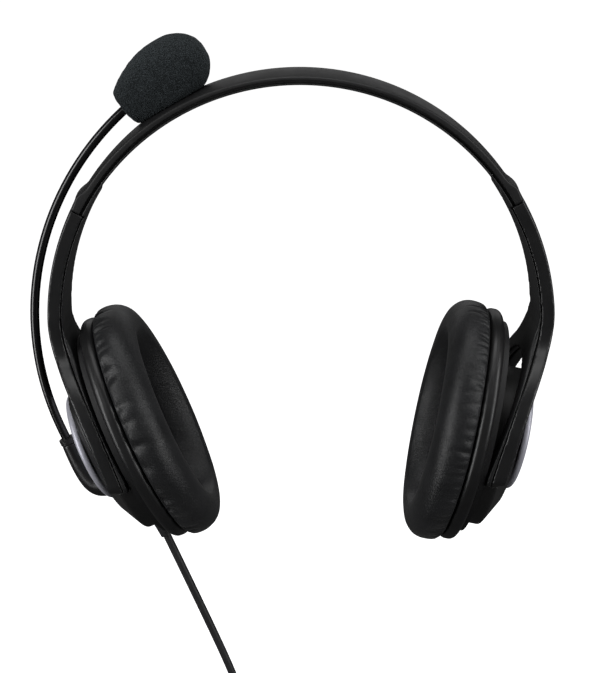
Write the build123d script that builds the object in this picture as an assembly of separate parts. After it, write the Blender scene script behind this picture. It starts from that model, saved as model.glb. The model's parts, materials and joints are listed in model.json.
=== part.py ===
from build123d import *
import math
import os

# Office headset with a parked microphone boom.  Millimetres.
# Origin: underside of the headband at its apex, on the centre plane.
# +X is the plain ear cup's side, -X the microphone's side, +Y is the back of the head, +Z up.

# ---------------------------------------------------------------- headband and its sliders
BAND_RADIUS = 90.0                 # head side of the band, an arc about BAND_CENTRE
BAND_CENTRE_Z = -BAND_RADIUS
BAND_HALF_WIDTH = 14.0
LINER_THICKNESS = 0.8
GROOVE_TOP = 91.9                  # radius where the outer shell's lips begin
SHELL_CROWN = 95.1                 # radius of the shell's crown line
SHELL_CROWN_ARC = 40.0             # cross curvature of the crown
SHELL_WALL = 1.8
SEAM_ANGLE = 61.0                  # from the apex to the seam between band and arm
SLEEVE_ANGLE = 54.0                # where the band starts to swell into its sleeve
SLEEVE_RAMP = 4.5                  # length of that swelling, degrees
SLEEVE_RAMP_DEPTH = 2.6            # how far under the crown the swelling starts
LINER_INSET = 0.6                  # liner's edges, in from the shell's
COVER_INSET = 0.3
SLEEVE_INNER = 89.5
SLEEVE_COVER_ANGLE = 56.0          # where the liner thickens over the sleeve
SHELL_LIP = 1.6                    # width of the shell's lips
SPRING_INNER = 91.0
SPRING_THICKNESS = 0.6
SPRING_HALF_WIDTH = 9.0
SPRING_ANGLE = 33.0
WIRE_PATH_RADIUS = 92.25
WIRE_RADIUS = 0.4
WIRE_Y = -6.0
WIRE_ANGLE = 52.0
DETENT_ANGLES = (55.0, 59.0)
DETENT_HALF_WIDTH = 3.0
DETENT_GAP = 0.15                  # between the strip and its detent leaf

# ---------------------------------------------------------------- arms, one each side
ARM_GAP_ANGLE = 0.25               # shadow gap at the seam
ARM_CROWN = 96.0                   # radius of the arm's crown line
ARM_CROWN_ARC = 122.0              # cross curvature of the arm
ARM_THICKNESS = 6.5                # upper arm, at its centre
ARM_SHELL_DEPTH = 5.0              # outer shell of the arm
ARM_SHELL_GAP = 0.2
ARM_SPLAY = 0.8                    # left arm leans in, right arm leans out by this much
BEND_ANGLE = 87.0                  # where the arm turns in to follow the ear cup
BEND_RADIUS = 45.0
LOWER_LEAN = 17.8                  # lower arm from vertical
LOWER_LENGTH = 62.0                # straight lower arm, past the tines' ends
YOKE_DEPTH = 9.7                   # yoke's head side, under the crown line
YOKE_CENTRE_Z = -131.0
YOKE_OUTER = 34.5
YOKE_INNER = 26.7
YOKE_NECK_FILLET = 12.0
WEB_Z = -96.0                      # head side of the arm thickens into the yoke below this
WEB_FILLET = 8.0
TINE_END_RADIUS = 3.7
STRIP_ANGLES = (38.0, 69.5)
STRIP_HALF_WIDTH = 8.0
RIVET_ANGLES = (64.5, 67.5)
RIVET_RADIUS = 1.2
RIVET_Y = 4.5
PIN_RADIUS = 1.6
PIN_CLEARANCE = 0.06
PIN_IN_HOUSING = 3.3               # length of the pin inside the cup housing
PIN_COVER = 2.4                    # tine left outside the pin's end
PIN_BOSS_RADIUS = 3.6
PIN_BOSS_LENGTH = 3.0

# ---------------------------------------------------------------- ear cups, in their own frame
# x across the head's front and back, y up the cup, z towards the ear, 0 at the cushion's seam
PIVOT_Y = -8.5
PIVOT_Z = -14.5
PIVOT_DEPTH = 6.2                  # the pivot lies this far under the arm's crown line
PIVOT_ALONG = 48.0                 # and this far down the straight lower arm
TILT_STOPS = (-5.5, 4.5)           # cup against arm, negative with the cup's top towards the head
CUP_CLEARANCE = 0.6                # between cup and arm at the stops
CUP_TILT = {"left": 22.3, "right": 12.8}
OVAL_END_OFFSET = 12.8             # centres of the oval's end arcs
OVAL_SIDE_STEP = 19.5              # side arcs are this much larger than the end arcs
OVAL_NARROWING = 8.0               # half height less half width
CUSHION_HALF_HEIGHT = 47.6
CUSHION_OPENING = 31.5
CUSHION_THICKNESS = 14.4
CUSHION_CROWN_FILLET = 6.5
CUSHION_SEAM_FILLET = 2.2
CUSHION_EAR_FILLET = 3.0
SEAM_GAP = 0.15                    # cushion to the seam plane
RIM_HALF_HEIGHT = 46.3
RIM_INSIDE = 38.8
RIM_DEPTH = 5.6
RIM_FILLET = 2.3
FRAME_HALF_HEIGHT = 42.2
FRAME_INSIDE = 33.0
FRAME_DEPTH = 2.3
HOUSING_DEPTH = 12.1
HOUSING_BASE = 38.6
HOUSING_SHOULDER = 6.0
HOUSING_TOP_INSET = 10.0
HOUSING_WALL = 1.8
TURRET_RADIUS = 25.3
LOWER_SHELF_Y = -14.0
CAP_RADIUS = 22.0
CAP_HEIGHT = 3.7
CAP_RIB_STEP = 2.2
CAP_CROWN = 1.2                    # how much lower the dome is at its edge
CAP_EDGE = 1.1
CAP_BEVEL = 0.8
CAP_GAP = 0.1
BAFFLE_DEPTH = 2.0
BAFFLE_FRONT_Z = -1.5
VENT_COUNT = 12
VENT_CIRCLE = 22.5
VENT_RADIUS = 1.0
CLOTH_Z = (-0.7, -0.3)
DRIVER_RADIUS = 19.0
DRIVER_DEPTH = 4.4
DRIVER_WALL = 1.4
DRIVER_FLOOR = 1.2
MAGNET_RADIUS = 11.0
MAGNET_DEPTH = 5.9
CONE_RADII = (6.0, DRIVER_RADIUS - 1.6)
CONE_HEIGHT = 1.8
CONE_FILM = 0.5
BOARD_Y = 10.5
BOARD_SIZE = (26.0, 12.0, 1.2)
CHIP_SIZE = (7.0, 7.0, 1.0)
SOCKET_SIZE = (8.0, 5.0, 2.0)
SCREW_X = 19.0
SCREW_Y = 26.0
SCREW_RADIUS = 1.2
SCREW_HOLE = SCREW_RADIUS + 0.03
SCREW_HEAD_RADIUS = 2.3
SCREW_HEAD_HEIGHT = 0.7

# ---------------------------------------------------------------- microphone boom
HUB_Y = -14.8
HUB_RADIUS = 6.8
HUB_BASE_Z = -25.0
HUB_HEIGHT = 5.2
HUB_FILLET = 3.2
POST_RADIUS = 3.9
POST_HOLE = 4.1
FLANGE_RADIUS = 6.0
FLANGE_DEPTH = 1.2
KNUCKLE_RADII = (4.2, 2.7)
KNUCKLE_CLEARANCE = 0.8
KNUCKLE_Z = -30.2
KNUCKLE_TOP_Y = 4.6
COLLAR_LENGTH = 2.2
COLLAR_RADIUS = 3.1
BOOM_CENTRE = (13.8, -93.9)        # x, z of the tube's arc
BOOM_ARC = 114.3
BOOM_TUBE_RADIUS = 1.75
BOOM_END_ANGLE = 127.5             # about BOOM_CENTRE, 180 is straight out to -X
BOOM_STRAIGHT = 3.0                # of the tube, out of its collar
FOAM_LENGTH = 37.0
FOAM_BASE_RADIUS = 7.8
FOAM_RADIUS = 13.0
FOAM_LEAN = 37.0                   # its axis above horizontal
FOAM_BAND_GAP = 2.7
FOAM_PAST_TUBE = 9.0               # foam's base to the tube's end
HOLDER_RADIUS = 4.8
HOLDER_LENGTH = 15.0
CAPSULE_RADIUS = 3.0
CAPSULE_LENGTH = 4.0

# ---------------------------------------------------------------- cord
CORD_RADIUS = 1.6
CORD_EXIT_Y = -45.5
CORD_EXIT_Z = -11.1
BOOT_RADIUS = 2.9
BOOT_TAPER = 0.6
BOOT_TOP_Y = -38.0
CORD_RUNS = (34.0, 36.0, 22.0, 16.0, 12.0)      # from the boot down to the hank
CORD_HEADINGS = (22.3, 21.3, 14.0, 6.0, 0.0)    # of each run, from straight down
CORD_ARC_SHARE = 0.45
HANK_STRAIGHT = 26.0
HANK_INNER_FOLD = 9.8              # centre line of the innermost fold
HANK_LANES = 5
HANK_PITCH = 3.35
HANK_THICKNESS = 13.4
TAIL_LENGTH = 20.0
TIE_HEIGHT = 12.0
TIE_THICKNESS = 1.0
TIE_GAP = 0.1
TIE_CORNER = 2.5
PLUG_BODY = (15.0, 8.0, 26.0)      # width, depth, length
PLUG_NECK = 8.0
PLUG_CORNER = 2.4
PLUG_SHOULDER = 1.8
PLUG_SHELL = (12.0, 4.5, 11.8)
PLUG_SHELL_WALL = 0.4
PLUG_TONGUE = (10.8, 1.8, 9.0)

BOTH_SIDES = ("left", "right")
STANDING = (Align.CENTER, Align.CENTER, Align.MIN)
HANGING = (Align.CENTER, Align.CENTER, Align.MAX)
HOUSING_FRONT_Z = -RIM_DEPTH - 0.3 - FRAME_DEPTH
HOUSING_BACK_Z = HOUSING_FRONT_Z - HOUSING_DEPTH

os.makedirs("parts", exist_ok=True)
written = []


def write(name, shape):
    """Write one sub-part."""
    export_step(shape, "parts/" + name + ".step")
    written.append(name)


def polar(radius, angle):
    """Point at an angle from the apex, about the band's centre, on the +X side."""
    turn = math.radians(angle)
    return (radius * math.sin(turn), 0.0, BAND_CENTRE_Z + radius * math.cos(turn))


def xz_face(*edges):
    """Flat face in the XZ plane from a closed run of edges."""
    return make_face(Wire(list(edges)))


def arc_xz(radius, start, end):
    """Arc about the band's centre from one angle to another."""
    middle = 0.5 * (start + end)
    return ThreePointArc(polar(radius, start), polar(radius, middle), polar(radius, end))


def ring_piece(section, start, end):
    """Turn a section, drawn in the XY plane as radius and y, about the band's centre."""
    axis = Axis((0, 0, BAND_CENTRE_Z), (0, 1, 0))
    stood = Plane(origin=(0, 0, BAND_CENTRE_Z), x_dir=(0, 0, 1), z_dir=(1, 0, 0)).location
    placed = (stood * section).rotate(axis, start)
    return revolve(placed, axis=axis, revolution_arc=end - start)


def box_section(inner, outer, half_width):
    """Rectangular section between two radii."""
    middle = 0.5 * (inner + outer)
    return Pos(middle, 0) * Rectangle(outer - inner, 2 * half_width)


def crown_section(inner, crown, cross_radius, half_width):
    """Section with a flat head side and a crowned outer side."""
    drop = cross_radius - math.sqrt(cross_radius ** 2 - half_width ** 2)
    low = (inner, -half_width)
    high = (inner, half_width)
    low_edge = (crown - drop, -half_width)
    high_edge = (crown - drop, half_width)
    crown_arc = ThreePointArc(low_edge, (crown, 0), high_edge)
    return make_face(Wire([Line(low, low_edge), crown_arc, Line(high_edge, high), Line(high, low)]))


# ================================================================ headband
def sleeve_ramp():
    """What is cut off the right sleeve, so that the band swells into it."""
    foot = polar(SHELL_CROWN - SLEEVE_RAMP_DEPTH, SLEEVE_ANGLE)
    crest = polar(ARM_CROWN + 0.3, SLEEVE_ANGLE + SLEEVE_RAMP)
    above = polar(ARM_CROWN + 6, SLEEVE_ANGLE)
    face = xz_face(Line(foot, crest), Line(crest, above), Line(above, foot))
    return extrude(face, amount=BAND_HALF_WIDTH + 2, both=True)


def build_headband_shell():
    end = SEAM_ANGLE
    section = crown_section(GROOVE_TOP, SHELL_CROWN, SHELL_CROWN_ARC, BAND_HALF_WIDTH)
    sleeve_section = crown_section(GROOVE_TOP, ARM_CROWN, ARM_CROWN_ARC, BAND_HALF_WIDTH)
    pocket = crown_section(
        GROOVE_TOP - 1, SHELL_CROWN - SHELL_WALL, SHELL_CROWN_ARC, BAND_HALF_WIDTH - SHELL_LIP)
    shell = ring_piece(section, -end, end)
    shell = shell + (ring_piece(sleeve_section, SLEEVE_ANGLE, end) - sleeve_ramp())
    left_ramp = mirror(sleeve_ramp(), about=Plane.YZ)
    shell = shell + (ring_piece(sleeve_section, -end, -SLEEVE_ANGLE) - left_ramp)
    write("headband_shell", shell - ring_piece(pocket, -end - 1, end + 1))


def build_headband_liner():
    end = SEAM_ANGLE
    strip = box_section(BAND_RADIUS, BAND_RADIUS + LINER_THICKNESS, BAND_HALF_WIDTH - LINER_INSET)
    cover = box_section(SLEEVE_INNER, BAND_RADIUS + 0.2, BAND_HALF_WIDTH - COVER_INSET)
    liner = ring_piece(strip, -end, end)
    liner = liner + ring_piece(cover, SLEEVE_COVER_ANGLE, end)
    liner = liner + ring_piece(cover, -end, -SLEEVE_COVER_ANGLE)
    write("headband_liner", liner)


def build_headband_inside():
    """Spring, crossover wire and the sliders' detents, in the groove of the shell."""
    spring = box_section(SPRING_INNER, SPRING_INNER + SPRING_THICKNESS, SPRING_HALF_WIDTH)
    write("headband_spring", ring_piece(spring, -SPRING_ANGLE, SPRING_ANGLE))

    wire = Pos(WIRE_PATH_RADIUS, WIRE_Y) * Circle(WIRE_RADIUS)
    write("crossover_wire", ring_piece(wire, -WIRE_ANGLE, WIRE_ANGLE))

    strip_top = SPRING_INNER + SPRING_THICKNESS
    leaf = box_section(strip_top + DETENT_GAP, GROOVE_TOP + 0.3, DETENT_HALF_WIDTH)
    low, high = DETENT_ANGLES
    detents = [ring_piece(leaf, low, high), ring_piece(leaf, -high, -low)]
    write("slider_detents", Compound(children=detents))


# ================================================================ arms
def crown_path():
    """Crown line of the right arm: band arc, bend, straight lower arm."""
    turn = 90.0 + LOWER_LEAN - BEND_ANGLE
    first = arc_xz(ARM_CROWN, SEAM_ANGLE + ARM_GAP_ANGLE, BEND_ANGLE)
    bend_centre = polar(ARM_CROWN - BEND_RADIUS, BEND_ANGLE)

    def on_bend(angle):
        swing = math.radians(angle)
        x = bend_centre[0] + BEND_RADIUS * math.sin(swing)
        z = bend_centre[2] + BEND_RADIUS * math.cos(swing)
        return (x, 0.0, z)

    bend_end = BEND_ANGLE + turn
    bend = ThreePointArc(on_bend(BEND_ANGLE), on_bend(BEND_ANGLE + 0.5 * turn), on_bend(bend_end))
    start = on_bend(bend_end)
    lean = math.radians(LOWER_LEAN)
    down = (-math.sin(lean), 0.0, -math.cos(lean))
    stop = (start[0] + LOWER_LENGTH * down[0], 0.0, start[2] + LOWER_LENGTH * down[2])
    return Wire([first, bend, Line(start, stop)]), start, down


def nominal_pivot():
    """Cup pivot on the right arm before splay."""
    _, start, down = crown_path()
    x = start[0] + PIVOT_ALONG * down[0] + PIVOT_DEPTH * down[2]
    z = start[2] + PIVOT_ALONG * down[2] - PIVOT_DEPTH * down[0]
    return (x, z)


def swept_layer(shallow, deep, half_width):
    """Layer of the arm between two depths under the crown surface."""
    path, _, _ = crown_path()
    drop = ARM_CROWN_ARC - math.sqrt(ARM_CROWN_ARC ** 2 - half_width ** 2)
    arcs = []
    for level in (shallow, deep):
        low = (-level - drop, -half_width)
        high = (-level - drop, half_width)
        arcs.append((low, (-level, 0), high))
    top, bottom = arcs
    face = make_face(Wire([
        ThreePointArc(*top),
        Line(top[2], bottom[2]),
        ThreePointArc(*bottom[::-1]),
        Line(bottom[0], top[0]),
    ]))
    start = path @ 0
    radial = Vector(start.X, 0, start.Z - BAND_CENTRE_Z).normalized()
    tangent = path % 0
    across = Plane(origin=start, x_dir=radial, z_dir=tangent)
    return sweep(across * face, path=path)


def side_outline():
    """Arm seen along X: strap, yoke ring and two tines."""
    _, pivot_z = nominal_pivot()
    tine_width = YOKE_OUTER - YOKE_INNER
    strap_top = BAND_CENTRE_Z + 60.0
    strap = Rectangle(2 * BAND_HALF_WIDTH, strap_top - YOKE_CENTRE_Z)
    strap = Pos(0, 0.5 * (strap_top + YOKE_CENTRE_Z)) * strap
    disc = Pos(0, YOKE_CENTRE_Z) * Circle(YOKE_OUTER)
    blank = strap + disc
    corners = [v for v in blank.vertices() if YOKE_CENTRE_Z + 5 < v.Y < strap_top - 5]
    blank = fillet(corners, YOKE_NECK_FILLET)
    lower = Pos(0, YOKE_CENTRE_Z - 40) * Rectangle(4 * YOKE_OUTER, 80)
    blank = blank - lower
    blank = blank - Pos(0, YOKE_CENTRE_Z) * Circle(YOKE_INNER)
    tine_length = YOKE_CENTRE_Z - pivot_z
    for sign in (-1, 1):
        middle = sign * 0.5 * (YOKE_OUTER + YOKE_INNER)
        bar = Pos(middle, YOKE_CENTRE_Z - 0.5 * tine_length) * Rectangle(tine_width, tine_length)
        tip = Pos(middle, pivot_z) * Circle(0.5 * tine_width)
        blank = blank + bar + tip
    return blank


def arm_shells():
    """Outer and inner shell of the right arm, before splay."""
    outline = extrude(Plane.YZ * side_outline(), amount=200)
    half = YOKE_OUTER + 1.5
    outer = swept_layer(0.0, ARM_SHELL_DEPTH, half) & outline
    inner = swept_layer(ARM_SHELL_DEPTH + ARM_SHELL_GAP, YOKE_DEPTH, half) & outline
    head_space = Pos(0, 0, BAND_CENTRE_Z) * Rot(X=90) * Cylinder(ARM_CROWN - ARM_THICKNESS, 4 * YOKE_OUTER)
    above_web = Pos(0, 0, WEB_Z + 100) * Box(400, 400, 200)
    cutter = head_space & above_web
    corner = cutter.edges().filter_by(Axis.Y).sort_by(Axis.X)[-1]
    inner = inner - fillet(corner, WEB_FILLET)
    swing = Box(200, 200, 100, align=(Align.CENTER, Align.MAX, Align.MIN))
    swing = Pos(0, RIM_HALF_HEIGHT + CUP_CLEARANCE, HOUSING_FRONT_Z - CUP_CLEARANCE) * swing
    for stop in TILT_STOPS:
        cup = cup_frame(1, nominal_pivot(), LOWER_LEAN + stop)
        inner = inner - cup.location * swing
    return outer, inner


def pivot_pins():
    """Two pins from the tines into the cup housing, at the nominal pivot."""
    pivot_x, pivot_z = nominal_pivot()
    reach_in = TURRET_RADIUS - PIN_IN_HOUSING
    reach_out = YOKE_OUTER - PIN_COVER
    pins = []
    for sign in (-1, 1):
        middle = sign * 0.5 * (reach_in + reach_out)
        pin = Cylinder(PIN_RADIUS, reach_out - reach_in)
        pins.append(Pos(pivot_x, middle, pivot_z) * Rot(X=90) * pin)
    return pins


def slider_rivets(radius, extra):
    """Rivets through strip and inner shell, or their holes with some extra radius."""
    rivets = []
    for angle in RIVET_ANGLES:
        foot = Vector(*polar(SLEEVE_INNER + 1.0, angle))
        top = Vector(*polar(SPRING_INNER + SPRING_THICKNESS + 0.5, angle))
        line = Plane(origin=foot, z_dir=top - foot)
        peg = line.location * Cylinder(radius + extra, (top - foot).length, align=STANDING)
        for y in (-RIVET_Y, RIVET_Y):
            rivets.append(Pos(0, y, 0) * peg)
    return rivets


def splay_seam(side):
    """Seam point that the arm shells lean about."""
    seam = polar(0.5 * (ARM_CROWN + SLEEVE_INNER), SEAM_ANGLE)
    sign = -1 if side == "left" else 1
    return (sign * seam[0], seam[2])


def splayed(side, shape):
    """Place a right-hand arm piece on its side, with the arm's lean."""
    if side == "left":
        shape = mirror(shape, about=Plane.YZ)
    seam_x, seam_z = splay_seam(side)
    return shape.rotate(Axis((seam_x, 0, seam_z), (0, 1, 0)), -ARM_SPLAY)


def build_arm(side, shells):
    sign = -1 if side == "left" else 1
    outer, inner = [splayed(side, shell) for shell in shells]
    pins = [splayed(side, pin) for pin in pivot_pins()]
    for pin in pins:
        outer = outer - pin
        inner = inner - pin
    slot_section = box_section(
        SPRING_INNER - 0.1, SPRING_INNER + SPRING_THICKNESS + 0.1, STRIP_HALF_WIDTH + 0.2)
    slot = ring_piece(slot_section, SEAM_ANGLE - 2, STRIP_ANGLES[1] + 0.3)
    strip = ring_piece(
        box_section(SPRING_INNER, SPRING_INNER + SPRING_THICKNESS, STRIP_HALF_WIDTH), *STRIP_ANGLES)
    rivets = slider_rivets(RIVET_RADIUS, 0.0)
    holes = slider_rivets(RIVET_RADIUS, 0.02)
    for hole in holes:
        strip = strip - hole
    if sign < 0:
        slot, strip = [mirror(piece, about=Plane.YZ) for piece in (slot, strip)]
        rivets = [mirror(piece, about=Plane.YZ) for piece in rivets]
        holes = [mirror(piece, about=Plane.YZ) for piece in holes]
    inner = inner - slot
    outer = outer - slot
    for hole in holes:
        inner = inner - hole
        outer = outer - hole
    write(side + "_arm_outer_shell", outer)
    write(side + "_arm_inner_shell", inner)
    write(side + "_slider_strip", strip)
    write(side + "_slider_rivets", Compound(children=rivets))
    write(side + "_pivot_pins", Compound(children=pins))


def cup_frame(sign, pivot, tilt_degrees):
    """Frame of an ear cup hung on a pivot: z towards the ear, y up the cup."""
    tilt = math.radians(tilt_degrees)
    up = Vector(sign * math.sin(tilt), 0, math.cos(tilt))
    ear = Vector(-sign * math.cos(tilt), 0, math.sin(tilt))
    origin = Vector(sign * pivot[0], 0, pivot[1]) - up * PIVOT_Y - ear * PIVOT_Z
    return Plane(origin=origin, x_dir=up.cross(ear), z_dir=ear)


def cup_plane(side):
    """Frame of one ear cup at rest."""
    sign = -1 if side == "left" else 1
    seam_x, seam_z = splay_seam(side)
    pivot_x, pivot_z = nominal_pivot()
    turn = math.radians(-ARM_SPLAY)
    across = sign * pivot_x - seam_x
    rise = pivot_z - seam_z
    x = seam_x + across * math.cos(turn) + rise * math.sin(turn)
    z = seam_z - across * math.sin(turn) + rise * math.cos(turn)
    return cup_frame(sign, (sign * x, z), CUP_TILT[side])


# ================================================================ ear cups
def oval(half_height):
    """Oval of four tangent arcs; all ovals of the cup are offsets of each other."""
    end_radius = half_height - OVAL_END_OFFSET
    side_radius = end_radius + OVAL_SIDE_STEP
    half_width = half_height - OVAL_NARROWING
    side_centre = side_radius - half_width
    x = -side_centre + side_radius * side_centre / OVAL_SIDE_STEP
    y = side_radius * OVAL_END_OFFSET / OVAL_SIDE_STEP
    return make_face(Wire([
        ThreePointArc((x, -y), (half_width, 0), (x, y)),
        ThreePointArc((x, y), (0, half_height), (-x, y)),
        ThreePointArc((-x, y), (-half_width, 0), (-x, -y)),
        ThreePointArc((-x, -y), (0, -half_height), (x, -y)),
    ]))


def slab(face, low, high):
    return extrude(Pos(0, 0, low) * face, amount=high - low)


def level_edges(shape, level, half_height=math.inf):
    """Edges of a slab at one level, no further up the cup than a half height."""
    picked = []
    for edge in shape.edges():
        box = edge.bounding_box()
        at_level = abs(box.min.Z - level) < 1e-3 and abs(box.max.Z - level) < 1e-3
        if at_level and box.max.Y < half_height:
            picked.append(edge)
    return picked


def build_cushion():
    low, high = SEAM_GAP, CUSHION_THICKNESS
    pad = slab(oval(CUSHION_HALF_HEIGHT), low, high)
    pad = fillet(level_edges(pad, high), CUSHION_CROWN_FILLET)
    pad = fillet(level_edges(pad, low), CUSHION_SEAM_FILLET)
    pad = pad - slab(oval(CUSHION_OPENING), low - 1, high + 1)
    return fillet(level_edges(pad, high, CUSHION_OPENING + 1), CUSHION_EAR_FILLET)


def build_rim():
    low, high = -RIM_DEPTH - 0.1, -0.1
    rim = slab(oval(RIM_HALF_HEIGHT), low, high)
    rim = fillet(level_edges(rim, high) + level_edges(rim, low), RIM_FILLET)
    return rim - slab(oval(RIM_INSIDE), low - 1, high + 1)


def screw_spots():
    return [(sx * SCREW_X, sy * SCREW_Y) for sx in (-1, 1) for sy in (-1, 1)]


def build_frame_ring():
    low = -RIM_DEPTH - 0.2 - FRAME_DEPTH
    ring = slab(oval(FRAME_HALF_HEIGHT) - oval(FRAME_INSIDE), low, -RIM_DEPTH - 0.2)
    for x, y in screw_spots():
        ring = ring - Pos(x, y, low) * Cylinder(SCREW_HOLE, 4 * FRAME_DEPTH)
    return ring


def dome(inset):
    """Cup back before its arm recess: straight wall, then a cone, offset inwards by inset."""
    lower = slab(oval(HOUSING_BASE - inset), HOUSING_FRONT_Z - HOUSING_SHOULDER, HOUSING_FRONT_Z)
    top = HOUSING_BACK_Z + inset
    cone = loft([
        Pos(0, 0, HOUSING_FRONT_Z - HOUSING_SHOULDER) * oval(HOUSING_BASE - inset),
        Pos(0, 0, top) * oval(HOUSING_BASE - HOUSING_TOP_INSET - inset),
    ])
    return lower + cone


def housing_mask(inset):
    """Round turret between the yoke's tines, with the full oval below them."""
    turret = Pos(0, 0, HOUSING_BACK_Z - 1) * Cylinder(
        TURRET_RADIUS - inset, HOUSING_DEPTH + 4, align=STANDING)
    top = LOWER_SHELF_Y - inset
    lower = Pos(0, top - 30, 0.5 * (HOUSING_FRONT_Z + HOUSING_BACK_Z)) * Box(100, 60, HOUSING_DEPTH + 4)
    return turret + lower


def build_housing(side):
    body = dome(0) & housing_mask(0)
    cavity = dome(HOUSING_WALL) & housing_mask(HOUSING_WALL)
    body = body - cavity
    for sign in (-1, 1):
        boss = Rot(Y=90) * Cylinder(PIN_BOSS_RADIUS, PIN_BOSS_LENGTH)
        boss = Pos(sign * (TURRET_RADIUS - 2.0), PIVOT_Y, PIVOT_Z) * boss
        body = body + (boss & (dome(0.5) & housing_mask(0.5)))
    bore = Pos(0, PIVOT_Y, PIVOT_Z) * Rot(Y=90) * Cylinder(PIN_RADIUS + PIN_CLEARANCE, 80)
    body = body - bore
    if side == "left":
        body = body - Pos(0, HUB_Y, HOUSING_BACK_Z) * Cylinder(POST_HOLE, 8)
        exit_hole = Pos(0, BOOT_TOP_Y, CORD_EXIT_Z) * Rot(X=90) * Cylinder(BOOT_RADIUS - 0.4, 6)
        body = body - exit_hole
    return body


def build_cap(side):
    """Domed round cover with stepped rings."""
    base = HOUSING_BACK_Z - CAP_GAP

    def height(radius):
        return CAP_HEIGHT - CAP_CROWN * (radius / CAP_RADIUS) ** 2

    profile = [(0, base - CAP_HEIGHT)]
    rings = int(CAP_RADIUS // CAP_RIB_STEP) - 1
    for ring in range(1, rings):
        radius = ring * CAP_RIB_STEP
        stepped = 0.5 * (height(radius) + height(radius + CAP_RIB_STEP))
        profile.append((radius, base - height(radius)))
        profile.append((radius, base - stepped))
    profile.append((CAP_RADIUS - CAP_BEVEL, base - CAP_EDGE - CAP_BEVEL))
    profile.append((CAP_RADIUS, base - CAP_EDGE))
    profile.append((CAP_RADIUS, base))
    profile.append((0, base))
    points = [(x, 0, z) for x, z in profile]
    cap = revolve(make_face(Polyline(*points, close=True)), axis=Axis.Z)
    if side == "left":
        cap = cap - Pos(0, HUB_Y, base) * Cylinder(POST_HOLE, 20)
    return cap


def build_baffle():
    low = BAFFLE_FRONT_Z - BAFFLE_DEPTH
    plate = slab(oval(RIM_INSIDE - 0.2), low, BAFFLE_FRONT_Z)
    plate = plate - Pos(0, 0, low) * Cylinder(DRIVER_RADIUS - 1.2, 20)
    for angle in range(0, 360, 360 // VENT_COUNT):
        vent = Rot(Z=angle) * Pos(VENT_CIRCLE, 0, 0) * Cylinder(VENT_RADIUS, 20)
        plate = plate - Pos(0, 0, low) * vent
    for x, y in screw_spots():
        plate = plate - Pos(x, y, low) * Cylinder(SCREW_HOLE, 20)
    return plate


def build_speaker():
    """Driver frame, magnet and cone, behind the baffle."""
    top = BAFFLE_FRONT_Z - BAFFLE_DEPTH - 0.1
    floor = top - DRIVER_DEPTH + DRIVER_FLOOR
    frame = Pos(0, 0, top) * Cylinder(DRIVER_RADIUS, DRIVER_DEPTH, align=HANGING)
    frame = frame - Pos(0, 0, floor) * Cylinder(DRIVER_RADIUS - DRIVER_WALL, 9, align=STANDING)
    magnet = Pos(0, 0, top - DRIVER_DEPTH - 0.1) * Cylinder(MAGNET_RADIUS, MAGNET_DEPTH, align=HANGING)
    film = Cone(*CONE_RADII, CONE_HEIGHT, align=STANDING)
    film = film - Pos(0, 0, CONE_FILM) * film
    return frame, magnet, Pos(0, 0, floor + 2.0) * film


def build_screws():
    bottom = -RIM_DEPTH - FRAME_DEPTH
    top = -1.5
    screws = []
    for x, y in screw_spots():
        shank = Pos(x, y, bottom) * Cylinder(SCREW_RADIUS, top - bottom, align=STANDING)
        head = Pos(x, y, top) * Cylinder(SCREW_HEAD_RADIUS, SCREW_HEAD_HEIGHT, align=STANDING)
        screws.append(shank + head)
    return screws


def build_cup(side):
    where = cup_plane(side).location
    frame, magnet, cone = build_speaker()
    pieces = {
        "ear_cushion": build_cushion(),
        "cushion_rim": build_rim(),
        "cup_frame": build_frame_ring(),
        "cup_housing": build_housing(side),
        "cup_cap": build_cap(side),
        "speaker_baffle": build_baffle(),
        "speaker_cloth": slab(oval(RIM_INSIDE - 0.4), *CLOTH_Z),
        "speaker_frame": frame,
        "speaker_magnet": magnet,
        "speaker_cone": cone,
    }
    for name, shape in pieces.items():
        write(side + "_" + name, where * shape)
    write(side + "_cup_screws", Compound(children=[where * s for s in build_screws()]))


def build_audio_board():
    """Circuit board with its chip and connector, in the left housing."""
    where = cup_plane("left").location
    back = HOUSING_BACK_Z + HOUSING_WALL + 0.2
    front = back + BOARD_SIZE[2] + 0.05
    board = Pos(0, BOARD_Y, back) * Box(*BOARD_SIZE, align=STANDING)
    write("left_audio_board", where * board)
    chip = Pos(-5, BOARD_Y, front) * Box(*CHIP_SIZE, align=STANDING)
    socket = Pos(7, BOARD_Y, front) * Box(*SOCKET_SIZE, align=STANDING)
    write("left_board_chips", Compound(children=[where * chip, where * socket]))


# ================================================================ boom
def boom_end():
    """Tube's end, inside the foam."""
    turn = math.radians(BOOM_END_ANGLE)
    x = BOOM_CENTRE[0] + BOOM_ARC * math.cos(turn)
    return Vector(x, 0, BOOM_CENTRE[1] + BOOM_ARC * math.sin(turn))


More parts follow.
